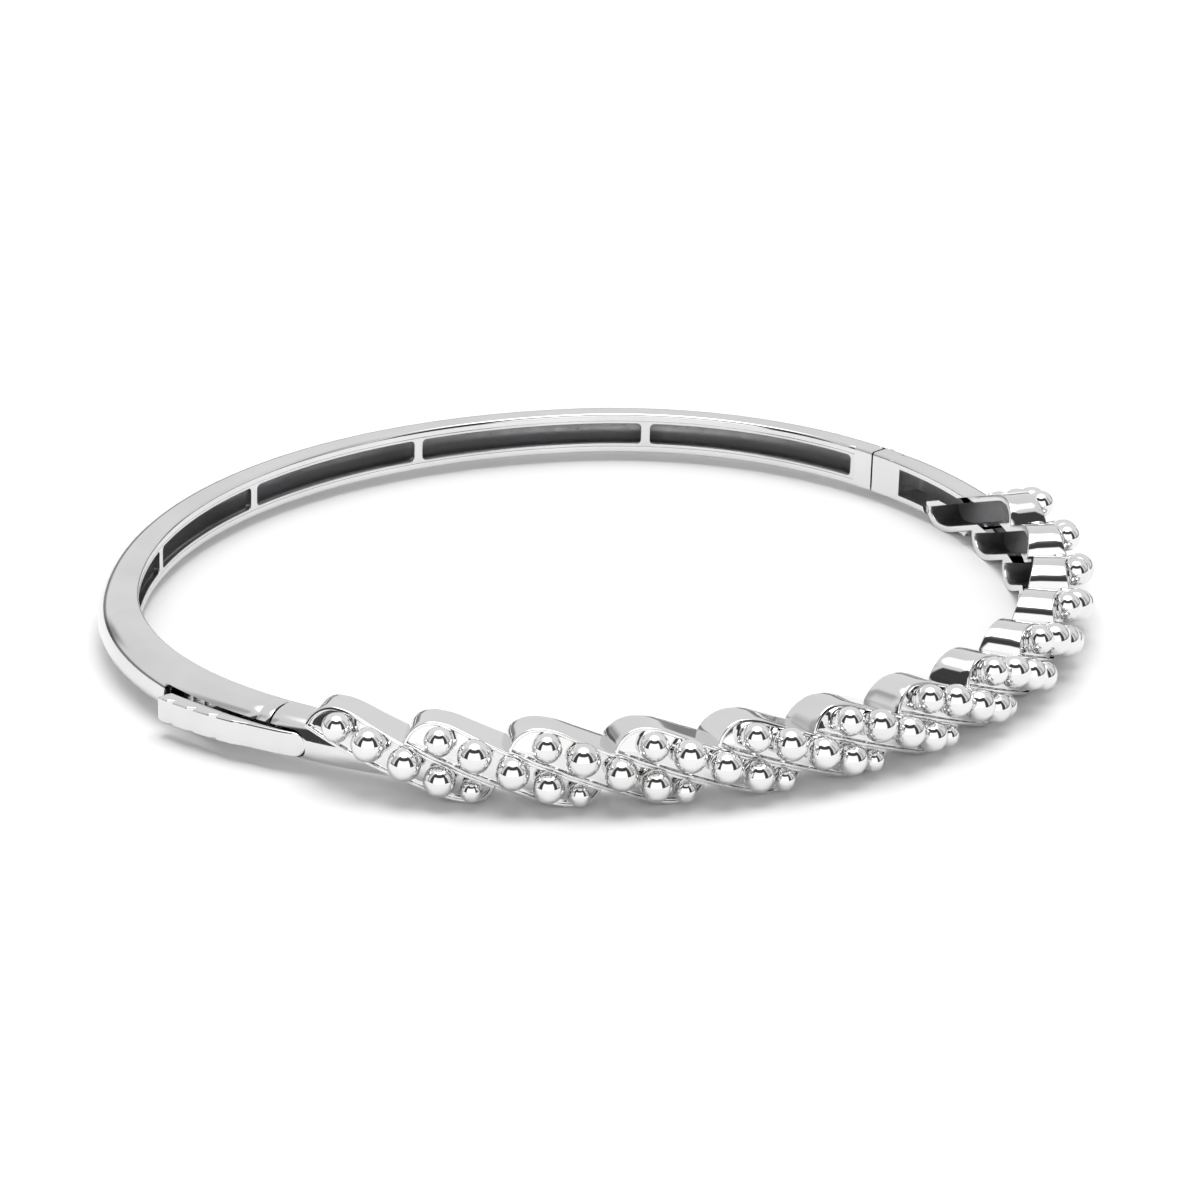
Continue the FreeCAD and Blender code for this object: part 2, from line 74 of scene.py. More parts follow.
def make_arcs():
    """The inner face as tangent arcs, from the clasp through the front, the hinge and the rear."""

    def half(depth, end_radius):
        offset = HALF_WIDTH - end_radius
        middle = (end_radius**2 - offset**2 - depth**2) / (2 * (end_radius - depth))
        return offset, middle, math.atan2(middle - depth, offset)

    offset, middle, turn = half(FRONT_DEPTH, FRONT_END_RADIUS)
    arcs = [((-offset, 0), FRONT_END_RADIUS, math.pi, math.pi + turn)]
    arcs.append(((0, middle - FRONT_DEPTH), middle, math.pi + turn, 2 * math.pi - turn))
    arcs.append(((offset, 0), FRONT_END_RADIUS, 2 * math.pi - turn, 2 * math.pi))
    offset, middle, turn = half(REAR_DEPTH, REAR_END_RADIUS)
    arcs.append(((offset, 0), REAR_END_RADIUS, 2 * math.pi, 2 * math.pi + turn))
    arcs.append(((0, REAR_DEPTH - middle), middle, 2 * math.pi + turn, 3 * math.pi - turn))
    arcs.append(((-offset, 0), REAR_END_RADIUS, 3 * math.pi - turn, 3 * math.pi))
    return arcs


ARCS = make_arcs()
LENGTHS = [radius * (end - start) for centre, radius, start, end in ARCS]
FRONT_LENGTH, LOOP_LENGTH = sum(LENGTHS[:3]), sum(LENGTHS)
HINGE_S, CLASP_S, REAR_CLASP_S = FRONT_LENGTH - JOINT_BACK, JOINT_BACK, LOOP_LENGTH + JOINT_BACK


def arc_at(s):
    s = s % LOOP_LENGTH
    for (centre, radius, start, end), length in zip(ARCS, LENGTHS):
        if s <= length:
            return centre, radius, start + s / radius
        s -= length
    return ARCS[-1][0], ARCS[-1][1], ARCS[-1][3]


def place(s, r, z):
    """Point at arc length s, distance r outward from the inner face and height z, in metres."""
    centre, radius, angle = arc_at(s)
    x = centre[0] + math.cos(angle) * (radius + r) + PLAN_CENTRE[0]
    y = centre[1] + math.sin(angle) * (radius + r) + PLAN_CENTRE[1]
    return Vector((x, y, z)) * MM


def outward(s):
    angle = arc_at(s)[2]
    return Vector((math.cos(angle), math.sin(angle), 0))


def along(s):
    angle = arc_at(s)[2]
    return Vector((-math.sin(angle), math.cos(angle), 0))


def panel_s(k):
    shrink = FRONT_LENGTH / (FRONT_LENGTH + math.pi * PANEL_FACE)
    return FRONT_LENGTH / 2 + (MIDDLE_PANEL_SHIFT + (k - PANEL_COUNT // 2) * PANEL_PITCH) * shrink


# ---------------------------------------------------------------- materials
def polished(name, tint, rough, wave, scratch):
    """Polished white metal: soft waviness, hairline scratches, uneven gloss and faint tarnish."""
    mat = bpy.data.materials.new(name)
    mat.use_nodes = True
    nodes, links = mat.node_tree.nodes, mat.node_tree.links
    shader = nodes["Principled BSDF"]
    shader.inputs["Metallic"].default_value = 1.0
    where = nodes.new("ShaderNodeTexCoord").outputs["Object"]

    def noise(scale, detail, stretch=(1, 1, 1), turn=(0, 0, 0)):
        mapping = nodes.new("ShaderNodeMapping")
        mapping.inputs["Scale"].default_value = stretch
        mapping.inputs["Rotation"].default_value = turn
        links.new(where, mapping.inputs["Vector"])
        texture = nodes.new("ShaderNodeTexNoise")
        texture.inputs["Scale"].default_value = scale
        texture.inputs["Detail"].default_value = detail
        links.new(mapping.outputs["Vector"], texture.inputs["Vector"])
        return texture.outputs["Fac"]

    def ranged(value, low, high, out_low, out_high):
        node = nodes.new("ShaderNodeMapRange")
        node.inputs["From Min"].default_value = low
        node.inputs["From Max"].default_value = high
        node.inputs["To Min"].default_value = out_low
        node.inputs["To Max"].default_value = out_high
        links.new(value, node.inputs["Value"])
        return node.outputs["Result"]

    tarnish = nodes.new("ShaderNodeValToRGB")
    tarnish.color_ramp.elements[0].position = 0.35
    tarnish.color_ramp.elements[0].color = (tint[0] * 0.93, tint[1] * 0.93, tint[2] * 0.92, 1)
    tarnish.color_ramp.elements[1].position = 0.62
    tarnish.color_ramp.elements[1].color = (*tint, 1)
    links.new(noise(160, 3), tarnish.inputs["Fac"])
    links.new(tarnish.outputs["Color"], shader.inputs["Base Color"])

    fine = noise(1500, 4)
    lines = noise(700, 2, (0.25, 9, 9), (0.3, 0.2, 0.8))
    crossed = noise(600, 2, (8, 0.3, 7), (0.9, 0.1, 0.4))
    total = nodes.new("ShaderNodeMath")
    total.operation = "ADD"
    links.new(ranged(fine, 0.3, 0.7, rough * 0.75, rough * 1.25), total.inputs[0])
    links.new(ranged(lines, 0.62, 0.75, 0.0, rough * 0.9), total.inputs[1])
    links.new(total.outputs["Value"], shader.inputs["Roughness"])

    soft = nodes.new("ShaderNodeBump")
    soft.inputs["Strength"].default_value = 1.0
    soft.inputs["Distance"].default_value = wave
    links.new(noise(320, 1.5), soft.inputs["Height"])
    cut = nodes.new("ShaderNodeBump")
    cut.inputs["Strength"].default_value = 1.0
    cut.inputs["Distance"].default_value = scratch
    links.new(ranged(lines, 0.6, 0.72, 0.0, 1.0), cut.inputs["Height"])
    links.new(soft.outputs["Normal"], cut.inputs["Normal"])
    cross = nodes.new("ShaderNodeBump")
    cross.inputs["Strength"].default_value = 1.0
    cross.inputs["Distance"].default_value = scratch * 0.6
    links.new(ranged(crossed, 0.62, 0.74, 0.0, 1.0), cross.inputs["Height"])
    links.new(cut.outputs["Normal"], cross.inputs["Normal"])
    links.new(cross.outputs["Normal"], shader.inputs["Normal"])
    return mat


UM = 0.000001
LOOKS = {
    "polished_silver": polished("polished_silver", (0.79, 0.79, 0.795), 0.05, 2.0 * UM, 0.25 * UM),
    "bead_silver": polished("bead_silver", (0.84, 0.84, 0.845), 0.03, 0.6 * UM, 0.12 * UM),
    "band_silver": polished("band_silver", (0.78, 0.78, 0.785), 0.07, 2.0 * UM, 0.35 * UM),
    "inner_silver": polished("inner_silver", (0.76, 0.76, 0.765), 0.12, 2.5 * UM, 0.6 * UM),
    "spring_silver": polished("spring_silver", (0.62, 0.62, 0.63), 0.22, 1.0 * UM, 0.8 * UM),
    "pin_silver": polished("pin_silver", (0.62, 0.62, 0.64), 0.2, 1.0 * UM, 0.5 * UM),
    "tab_silver": polished("tab_silver", (0.78, 0.78, 0.785), 0.08, 1.5 * UM, 0.4 * UM),
}
# second material for faces inside hollows: its roughness is the unpolished cast finish, its dark tint
# (0.34) is painted shade of the recesses
CAST_FINISH_AND_PAINTED_SHADE = polished("cast_inside_painted_shade", (0.34, 0.34, 0.35), 0.4, 3.0 * UM, 0.8 * UM)
SLOT_OF = {part["node"]: part["material_slot"] for part in frame["record"]["subparts"]}
BODY_OF = {}
for body_name, members in frame["record"]["behaviour"]["bodies"].items():
    for member in members:
        BODY_OF[member] = body_name
for node, obj in frame["nodes"].items():
    obj.data.materials.clear()
    obj.data.materials.append(LOOKS[SLOT_OF[node]])


# ---------------------------------------------------------------- making pieces
def link(name, mesh):
    obj = bpy.data.objects.new(name, mesh)
    bpy.context.scene.collection.objects.link(obj)
    return obj


def finish_piece(name, mesh, *nodes, angle=35):
    """Shades a finished mesh smooth, gives it the node's material plus a second material whose dark tint is
    painted shade for hollow faces, and hangs it on the node's body.
    """
    mesh.materials.append(LOOKS[SLOT_OF[nodes[0]]])
    # second material: rough cast finish with a dark tint that is painted shade inside the hollows
    mesh.materials.append(CAST_FINISH_AND_PAINTED_SHADE)
    mesh.polygons.foreach_set("use_smooth", [True] * len(mesh.polygons))
    mesh.set_sharp_from_angle(angle=math.radians(angle))
    obj = link(name, mesh)
    weighted = obj.modifiers.new("even_normals", "WEIGHTED_NORMAL")
    weighted.keep_sharp = True
    weighted.weight = 80
    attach(obj, BODY_OF[nodes[0]])
    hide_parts(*nodes)
    return obj


# ---------------------------------------------------------------- panels and beads
def leaf_chain(inset, counts=(14, 5, 14)):
    """Upper edge of the leaf outline, from its left tip to its right one, pulled in by inset."""
    half_pitch = PANEL_PITCH / 2
    top = PANEL_HALF_HEIGHT
    tip = (-PANEL_HALF_LENGTH, PANEL_SLOPE * (PANEL_HALF_LENGTH - half_pitch))
    slope = math.atan(PANEL_SLOPE)
    crest = half_pitch - top / PANEL_SLOPE - SHOULDER_RADIUS * math.tan(slope / 2)
    reach, drop = crest - tip[0], top - tip[1]
    lobe = (reach**2 + drop**2) / (2 * drop)
    centre_z = top - lobe
    radius = lobe - inset
    lift = inset / math.cos(slope)
    # left tip: the lobe's circle meets the line below it
    a = 1 + PANEL_SLOPE**2
    base = -PANEL_SLOPE * (crest + half_pitch) + lift - centre_z
    b = -2 * PANEL_SLOPE * base
    c = base**2 - radius**2
    du = (-b - math.sqrt(b * b - 4 * a * c)) / (2 * a)
    left = (crest + du, centre_z + base - PANEL_SLOPE * du)
    start = math.atan2(left[1] - centre_z, du) % (2 * math.pi)
    points = []
    for i in range(counts[0]):
        angle = start + (math.pi / 2 - start) * i / counts[0]
        points.append((crest + radius * math.cos(angle), centre_z + radius * math.sin(angle)))
    bend = SHOULDER_RADIUS - inset
    for i in range(counts[1]):
        angle = math.pi / 2 - slope * i / counts[1]
        points.append((crest + bend * math.cos(angle), top - SHOULDER_RADIUS + bend * math.sin(angle)))
    joined = (crest + bend * math.sin(slope), top - SHOULDER_RADIUS + bend * math.cos(slope))
    for i in range(counts[2] + 1):
        part = i / counts[2]
        u = joined[0] + part * (-left[0] - joined[0])
        points.append((u, joined[1] + part * (-left[1] - joined[1])))
    return points


def leaf_ring(inset):
    upper = leaf_chain(inset)
    lower = [(-u, -z) for u, z in reversed(upper)]
    return upper, lower


def crown_fall(z):
    return PANEL_CROWN * (z / PANEL_HALF_HEIGHT) ** 2


def panel_depth(depth, crown, z):
    """Depth at height z: crown is 1 for a surface along the crowned face, 0 along the slanted back."""
    return depth - crown * crown_fall(z) + (1 - crown) * BACK_SLANT * z / PANEL_HALF_HEIGHT


def panel_point(k, u, z, r):
    """Point of panel k: u along the band, z from its middle, r outward from the inner face."""
    s = panel_s(k)
    centre, radius, angle = arc_at(s)
    rise = math.sqrt((radius + r) ** 2 - u * u) - radius
    x = centre[0] + PLAN_CENTRE[0] + math.cos(angle) * (radius + rise) - math.sin(angle) * u
    y = centre[1] + PLAN_CENTRE[1] + math.sin(angle) * (radius + rise) + math.cos(angle) * u
    return Vector((x, y, PANEL_MID_Z + z)) * MM


EDGE = 0.07              # rounding of a panel's rim
RIM_EDGE = 0.05          # rounding where the rim turns down into the pocket
POCKET_FILLET = 0.1      # fillet between the pocket's wall and its floor
QUARTER = [math.radians(a) for a in (0, 22.5, 45, 67.5, 90)]
FLOOR_ROWS = 10


def panel_mesh(k):
    """Leaf-shaped cup with a rounded rim, a crowned floor and a hollow back."""
    rings = []          # (inset, depth, how much of the crown it follows)
    back_hollow = PANEL_FACE - POCKET_DEPTH - FLOOR_THICKNESS
    floor = PANEL_FACE - POCKET_DEPTH
    rings.append((PANEL_WALL, back_hollow - 0.08, 1.0))
    for a in QUARTER:
        inset = PANEL_WALL - EDGE * (1 - math.cos(a)) * 0.7
        rings.append((inset, PANEL_BACK + EDGE * (1 - math.sin(a)), 0.0))
    for a in QUARTER:
        rings.append((EDGE * (1 - math.sin(a)), PANEL_BACK + EDGE * (1 - math.cos(a)), 0.0))
    for share in (0.25, 0.5, 0.75):
        rings.append((0.0, PANEL_BACK + share * (PANEL_FACE - PANEL_BACK), share))
    for a in QUARTER:
        rings.append((EDGE * (1 - math.cos(a)), PANEL_FACE - EDGE * (1 - math.sin(a)), 1.0))
    for a in QUARTER:
        inset = RIM_WIDTH - RIM_EDGE * (1 - math.sin(a))
        rings.append((inset, PANEL_FACE - RIM_EDGE * (1 - math.cos(a)), 1.0))
    for a in QUARTER:
        inset = RIM_WIDTH + POCKET_FILLET * (1 - math.cos(a))
        rings.append((inset, floor + POCKET_FILLET * (1 - math.sin(a)), 1.0))
    mesh = bpy.data.meshes.new(f"panel_{k + 1:02d}_mesh")
    bm = bmesh.new()
    loops = []
    for inset, depth, crown in rings:
        upper, lower = leaf_ring(inset)
        around = upper + lower[1:-1][::-1]
        loop = [bm.verts.new(panel_point(k, u, z, panel_depth(depth, crown, z))) for u, z in around]
        loops.append(loop)
    count = len(loops[0])
    for first, second in zip(loops, loops[1:]):
        for i in range(count):
            j = (i + 1) % count
            face = bm.faces.new((first[i], first[j], second[j], second[i]))
            # the back hollow's wall gets material 1, whose dark tint is painted shade
            face.material_index = 1 if first is loops[0] else 0

    def floor_grid(loop, inset, depth, flip):
        upper, lower = leaf_ring(inset)
        last = len(upper) - 1
        columns = [[loop[0]] * (FLOOR_ROWS + 1)]
        for i in range(1, last):
            column = [loop[i]]
            for row in range(1, FLOOR_ROWS):
                part = row / FLOOR_ROWS
                u = upper[i][0] + part * (lower[i][0] - upper[i][0])
                z = upper[i][1] + part * (lower[i][1] - upper[i][1])
                column.append(bm.verts.new(panel_point(k, u, z, depth - crown_fall(z))))
            column.append(loop[count - i])
            columns.append(column)
        columns.append([loop[last]] * (FLOOR_ROWS + 1))
        for a, b in zip(columns, columns[1:]):
            for row in range(FLOOR_ROWS):
                corners = []
                for vert in (a[row], a[row + 1], b[row + 1], b[row]):
                    if vert not in corners:
                        corners.append(vert)
                face = bm.faces.new(corners[::-1] if flip else corners)
                # the back hollow's ceiling gets material 1, whose dark tint is painted shade; the pocket
                # floor stays polished
                face.material_index = 0 if flip else 1

    floor_grid(loops[-1], rings[-1][0], rings[-1][1], True)
    floor_grid(loops[0], rings[0][0], rings[0][1], False)
    bmesh.ops.recalc_face_normals(bm, faces=bm.faces)
    bm.to_mesh(mesh)
    bm.free()
    return mesh


BEAD_SIDES, BEAD_STEPS = 40, 22
FOOT_HEIGHT, FOOT_FLARE, FOOT_SINK = 0.12, 0.07, 0.03


def beads_mesh(k):
    """Five polished grains on panel k, each with a small flared solder foot."""
    mesh = bpy.data.meshes.new(f"beads_{k + 1:02d}_mesh")
    bm = bmesh.new()
    for u, z, radius in BEADS:
        drop = BEAD_SEAT * radius
        depth = PANEL_FACE - POCKET_DEPTH - crown_fall(z) + drop
        s = panel_s(k)
        shrink = arc_at(s)[1] / (arc_at(s)[1] + PANEL_FACE)
        up = outward(s + u * shrink)
        tilt = 2 * PANEL_CROWN * z / PANEL_HALF_HEIGHT**2
        up = (up + Vector((0, 0, tilt))).normalized()
        side = along(s + u * shrink)
        centre = place(s + u * shrink, depth, PANEL_MID_Z + z)
        other = up.cross(side)
        foot_angle = math.acos(-(drop - FOOT_HEIGHT) / radius)
        profile = []
        for i in range(1, BEAD_STEPS + 1):
            angle = foot_angle * i / BEAD_STEPS
            profile.append((radius * math.sin(angle), radius * math.cos(angle)))
        edge_r, edge_h = profile[-1]
        for part in (0.35, 0.7, 1.0):
            fall = (FOOT_HEIGHT + FOOT_SINK) * math.sin(part * math.pi / 2)
            profile.append((edge_r + FOOT_FLARE * part * part, edge_h - fall))
        pole = bm.verts.new(centre + up * radius * MM)
        previous = None
        for pr, ph in profile:
            ring = []
            for i in range(BEAD_SIDES):
                angle = 2 * math.pi * i / BEAD_SIDES
                spoke = side * math.cos(angle) + other * math.sin(angle)
                ring.append(bm.verts.new(centre + (spoke * pr + up * ph) * MM))
            for i in range(BEAD_SIDES):
                j = (i + 1) % BEAD_SIDES
                if previous is None:
                    bm.faces.new((pole, ring[i], ring[j]))
                else:
                    bm.faces.new((previous[i], ring[i], ring[j], previous[j]))
            previous = ring
        bm.faces.new(previous[::-1])
    bmesh.ops.recalc_face_normals(bm, faces=bm.faces)
    bm.to_mesh(mesh)
    bm.free()
    return mesh


# ---------------------------------------------------------------- band pieces, made straight, then bent
def prism(section, s0, s1):
    """Section of (outward, height) points, run along the band."""
    mesh = bpy.data.meshes.new("straight")
    bm = bmesh.new()
    first = [bm.verts.new((s0, r, z)) for r, z in section]
    second = [bm.verts.new((s1, r, z)) for r, z in section]
    count = len(section)
    for i in range(count):
        j = (i + 1) % count
        bm.faces.new((first[i], first[j], second[j], second[i]))
    bm.faces.new(first)
    bm.faces.new(second)
    bmesh.ops.recalc_face_normals(bm, faces=bm.faces)
    bm.to_mesh(mesh)
    bm.free()
    return mesh


def rectangle(r0, r1, half, middle=BAND_MID_Z):
    low, high = middle - half, middle + half
    return [(r0, low), (r1, low), (r1, high), (r0, high)]


def dome(flat, depth, half, steps):
    """Outer curve of the band from the end of its flat top to the end of its flat bottom."""
    angles = [math.pi * i / steps for i in range(steps + 1)]
    return [(flat + depth * math.sin(a), BAND_MID_Z + half * math.cos(a)) for a in angles]


def outside():
    """Outline of the band's section, from low on the inner face, up and over to the bottom."""
    half = BAND_HEIGHT / 2
    e = EDGE_ROUND
    turns = [math.radians(a) for a in (0, 18, 36, 54, 72, 90)]
    points = [(e - e * math.cos(a), BAND_MID_Z + half - e + e * math.sin(a)) for a in turns]
    points += dome(BAND_FLAT, BAND_THICKNESS - BAND_FLAT, half, 28)
    points += [(e - e * math.sin(a), BAND_MID_Z - half + e - e * math.cos(a)) for a in turns]
    return points


def channel():
    half = BAND_HEIGHT / 2 - WALL
    inner = dome(BAND_FLAT, BAND_THICKNESS - BAND_FLAT - WALL, half, 16)
    points = [(0, BAND_MID_Z + half)] + outside() + [(0, BAND_MID_Z - half), (WALL, BAND_MID_Z - half)]
    return points + inner[::-1] + [(WALL, BAND_MID_Z + half)]


def outline_prism(outline, r0, r1, scale0=1.0, scale1=1.0, s_mid=0.0):
    """Outline of (along, height) points, run outward; the two ends may differ in length."""
    mesh = bpy.data.meshes.new("straight")
    bm = bmesh.new()
    first = [bm.verts.new((s_mid + (s - s_mid) * scale0, r0, z)) for s, z in outline]
    second = [bm.verts.new((s_mid + (s - s_mid) * scale1, r1, z)) for s, z in outline]
    count = len(outline)
    for i in range(count):
        j = (i + 1) % count
        bm.faces.new((first[i], first[j], second[j], second[i]))
    bm.faces.new(first)
    bm.faces.new(second)
    bmesh.ops.recalc_face_normals(bm, faces=bm.faces)
    bm.to_mesh(mesh)
    bm.free()
    return mesh


def rounded_window(s0, s1, half, corner, middle=BAND_MID_Z):
    points = []
    for cs, cz, start in ((s1, 1, 0), (s0, 1, 90), (s0, -1, 180), (s1, -1, 270)):
        inward = -corner if cs == s1 else corner
        for a in (0, 22.5, 45, 67.5, 90):
            turn = math.radians(start + a)
            z = middle + cz * (half - corner) + corner * math.sin(turn)
            points.append((cs + inward + corner * math.cos(turn), z))
    return points


def shaped(mesh, cutters, bevel):
    """Cuts the straight mesh and softens its sharp edges."""
    obj = link("shaping", mesh)
    helpers = []
    for cutter in cutters:
        helper = link("cutter", cutter)
        helpers.append(helper)
        cut = obj.modifiers.new("cut", "BOOLEAN")
        cut.operation = "DIFFERENCE"
        cut.solver = "EXACT"
        cut.object = helper
    if bevel:
        soften = obj.modifiers.new("soften", "BEVEL")
        soften.width = bevel
        soften.segments = 3
        soften.limit_method = "ANGLE"
        soften.angle_limit = math.radians(38)
    graph = bpy.context.evaluated_depsgraph_get()
    result = bpy.data.meshes.new_from_object(obj.evaluated_get(graph))
    for extra in [obj] + helpers:
        bpy.data.objects.remove(extra)
    return result


def bent(mesh, pitch=0.8):
    """Slices a straight mesh along the band and bends it to the plan."""
    bm = bmesh.new()
    bm.from_mesh(mesh)
    low = min(v.co.x for v in bm.verts)
    high = max(v.co.x for v in bm.verts)
    slices = max(2, math.ceil((high - low) / pitch))
    for i in range(1, slices):
        at = low + (high - low) * i / slices
        geometry = bm.verts[:] + bm.edges[:] + bm.faces[:]
        bmesh.ops.bisect_plane(bm, geom=geometry, dist=1e-5, plane_co=(at, 0, 0), plane_no=(1, 0, 0))
    for vert in bm.verts:
        vert.co = place(vert.co.x, vert.co.y, vert.co.z)
    bmesh.ops.recalc_face_normals(bm, faces=bm.faces)
    result = bpy.data.meshes.new("bent")
    bm.to_mesh(result)
    bm.free()
    return result


HOLLOW_HALF = BAND_HEIGHT / 2 - WALL


def mark_inside(mesh):
    """Gives the second material, whose dark tint is painted shade, to the faces of a straight piece that
    lie in the band's hollow.
    """
    for face in mesh.polygons:
        r, z = face.center[1], face.center[2]
        level = abs(z - BAND_MID_Z) < HOLLOW_HALF + 0.02 and 0.3 < r < BAND_THICKNESS - WALL + 0.02
        # hollow faces get material 1: painted shade plus rough cast finish
        face.material_index = 1 if level and abs(face.normal.x) < 0.7 else 0
    return mesh


def leaf_cutter(k):
    upper, lower = leaf_ring(0.0)
    s = panel_s(k)
    outline = [(s + u, PANEL_MID_Z + z) for u, z in upper + lower[::-1][1:-1]]
    radius = arc_at(s)[1]
    return outline_prism(outline, -1.0, 5.0, radius / (radius - 1.0), radius / (radius + 5.0), s)


def opened(k):
    """Panel k with the channel cut through its side walls; cut in millimetres, then scaled back."""
    mesh = panel_mesh(k)
    s = panel_s(k)
    reach = PANEL_HALF_LENGTH + 1.2
    section = rectangle(-1.0, TROUGH_DEPTH, TROUGH_HALF_HEIGHT, PANEL_MID_Z)
    trough = bent(prism(section, s - reach, s + reach))
    for part in (mesh, trough):
        part.transform(Matrix.Scale(1 / MM, 4))
    result = shaped(mesh, [trough], 0)
    result.transform(Matrix.Scale(MM, 4))
    return result


for number in range(PANEL_COUNT):
    tag = f"{number + 1:02d}"
    finish_piece(f"leaf_panel_{tag}", opened(number), f"panel_{tag}", angle=50)
    finish_piece(f"grain_row_{tag}", beads_mesh(number), f"beads_{tag}", angle=60)

REAR_START = HINGE_S + HINGE_END_LENGTH
REAR_END = REAR_CLASP_S - CAP_LENGTH
SLOT_HALF = TAB_HALF_HEIGHT + SLOT_MARGIN

slot_start = LOOP_LENGTH + TAB_REAR - TAB_HEEL_GAP
slot_outline = rounded_window(slot_start, REAR_END + 5, SLOT_HALF, 0.3, TAB_MID_Z)
slot_cut = outline_prism(slot_outline, SLOT_FLOOR, OUTSIDE)
shell = shaped(prism(channel(), REAR_START, REAR_END), [slot_cut], SOFTENING)
finish_piece("plain_rear_band", bent(mark_inside(shell)), "rear_shell")

windows = []
window_start = REAR_START + RIB_WIDTH / 2
for window_length in WINDOW_LENGTHS:
    outline = rounded_window(window_start, window_start + window_length, WINDOW_HALF_HEIGHT, WINDOW_CORNER)
    windows.append(outline_prism(outline, -0.5, 1.0))
    window_start += window_length + RIB_WIDTH
plate = shaped(prism(rectangle(0.0, WALL, HOLLOW_HALF), REAR_START, REAR_END), windows, 0.05)
finish_piece("inner_ladder_plate", bent(mark_inside(plate)), "rear_inner_plate")

cap_cuts = [prism(rectangle(BOX_FLOOR - 0.05, OUTSIDE, 0.75), REAR_END - 1, REAR_CLASP_S + 1)]
cap_cuts.append(prism(rectangle(SLOT_FLOOR, OUTSIDE, SLOT_HALF, TAB_MID_Z), REAR_END - 1, REAR_CLASP_S + 1))
cap = shaped(prism(outside(), REAR_END, REAR_CLASP_S - JOINT_GAP / 2), cap_cuts, SOFTENING)
finish_piece("rear_end_wall", bent(mark_inside(cap), 0.4), "rear_clasp_cap")

box_start = CLASP_S + JOINT_GAP / 2
tail_slot = rounded_window(box_start - 5, TAB_FRONT + SLOT_MARGIN, SLOT_HALF, SLOT_HALF - 0.02, TAB_MID_Z)
box_cuts = [prism(rectangle(BOX_FLOOR, BOX_ROOF, HOLLOW_HALF), box_start - 1, BOX_END)]
box_cuts += [outline_prism(tail_slot, SLOT_FLOOR, OUTSIDE), leaf_cutter(0)]
box = shaped(prism(outside(), box_start, panel_s(0) + SHOULDER_TIPS[0]), box_cuts, SOFTENING)
finish_piece("clasp_box", bent(mark_inside(box), 0.5), "clasp_shoulder")

shoulder_start = panel_s(PANEL_COUNT - 1) + SHOULDER_TIPS[1]
shoulder_end = HINGE_S - HINGE_END_LENGTH
cavity = prism(rectangle(-0.5, CAVITY_DEPTH, HOLLOW_HALF), shoulder_start - 1, shoulder_end - CAVITY_WALL)
shoulder_cuts = [cavity, leaf_cutter(PANEL_COUNT - 1)]
shoulder = shaped(prism(outside(), shoulder_start, shoulder_end), shoulder_cuts, SOFTENING)
finish_piece("hinge_side_shoulder", bent(mark_inside(shoulder), 0.5), "hinge_shoulder")

# ---------------------------------------------------------------- thumb tab
TAB_PROFILE = (
    (0.0, 2.40), (0.12, 2.68), (0.35, 2.86), (0.75, 2.93), (1.02, 2.90), (1.40, 2.64), (1.46, 2.92),
    (2.48, 2.88), (2.88, 2.62), (2.94, 2.89), (3.98, 2.85), (4.40, 2.60), (4.46, 2.86),
    (5.50, 2.84), (5.90, 2.76), (6.40, 2.68), (7.00, 2.68), (8.40, 2.67), (9.50, 2.62), (9.90, 2.50),
)
TAB_LENGTH = TAB_FRONT - TAB_REAR
TAB_EDGE = 0.13
TAB_STEPS = 165
TAB_NOSE = 0.6      # rounding of the ridged end, seen from outside
pivot = place(TAB_PIVOT, TAB_BASE, 0)
tilt = Matrix.Rotation(math.radians(TAB_TILT), 4, "Z")
TILTED = Matrix.Translation(pivot) @ tilt @ Matrix.Translation(-pivot)


def tab_top(x):
    for (x0, r0), (x1, r1) in zip(TAB_PROFILE, TAB_PROFILE[1:]):
        if x <= x1:
            return r0 + (r1 - r0) * (x - x0) / (x1 - x0)
    return TAB_PROFILE[-1][1]


def tab_mesh():
    """Strip with three filed grip notches, a saddle and a rounded tail."""
    bm = bmesh.new()
    rings = []
    for i in range(TAB_STEPS + 1):
        x = TAB_LENGTH * i / TAB_STEPS
        to_tail = TAB_LENGTH - x
        half = TAB_HALF_HEIGHT
        if x < TAB_NOSE:
            half -= TAB_NOSE - math.sqrt(max(TAB_NOSE**2 - (TAB_NOSE - x) ** 2, 0.0))
        if to_tail < TAB_HALF_HEIGHT:
            half = math.sqrt(max(TAB_HALF_HEIGHT**2 - (TAB_HALF_HEIGHT - to_tail) ** 2, 0.0))
        half = max(half, TAB_EDGE + 0.02)
        top = tab_top(x)
        s = LOOP_LENGTH + TAB_REAR + x
        edge_r = top - TAB_EDGE
        edge_z = half - TAB_EDGE
        section = [(TAB_BASE, -half)]
        section += [(edge_r + TAB_EDGE * math.sin(a), -edge_z - TAB_EDGE * math.cos(a)) for a in QUARTER]
        section += [(edge_r + TAB_EDGE * math.cos(a), edge_z + TAB_EDGE * math.sin(a)) for a in QUARTER]
        section.append((TAB_BASE, half))
        rings.append([bm.verts.new(TILTED @ place(s, r, TAB_MID_Z + z)) for r, z in section])
    for first, second in zip(rings, rings[1:]):
        for i in range(len(first)):
            j = (i + 1) % len(first)
            bm.faces.new((first[i], first[j], second[j], second[i]))
    bm.faces.new(rings[0])
    bm.faces.new(rings[-1])
    bmesh.ops.recalc_face_normals(bm, faces=bm.faces)
    mesh = bpy.data.meshes.new("thumb_tab_mesh")
    bm.to_mesh(mesh)
    bm.free()
    return mesh


finish_piece("push_tab", tab_mesh(), "thumb_tab", angle=28)

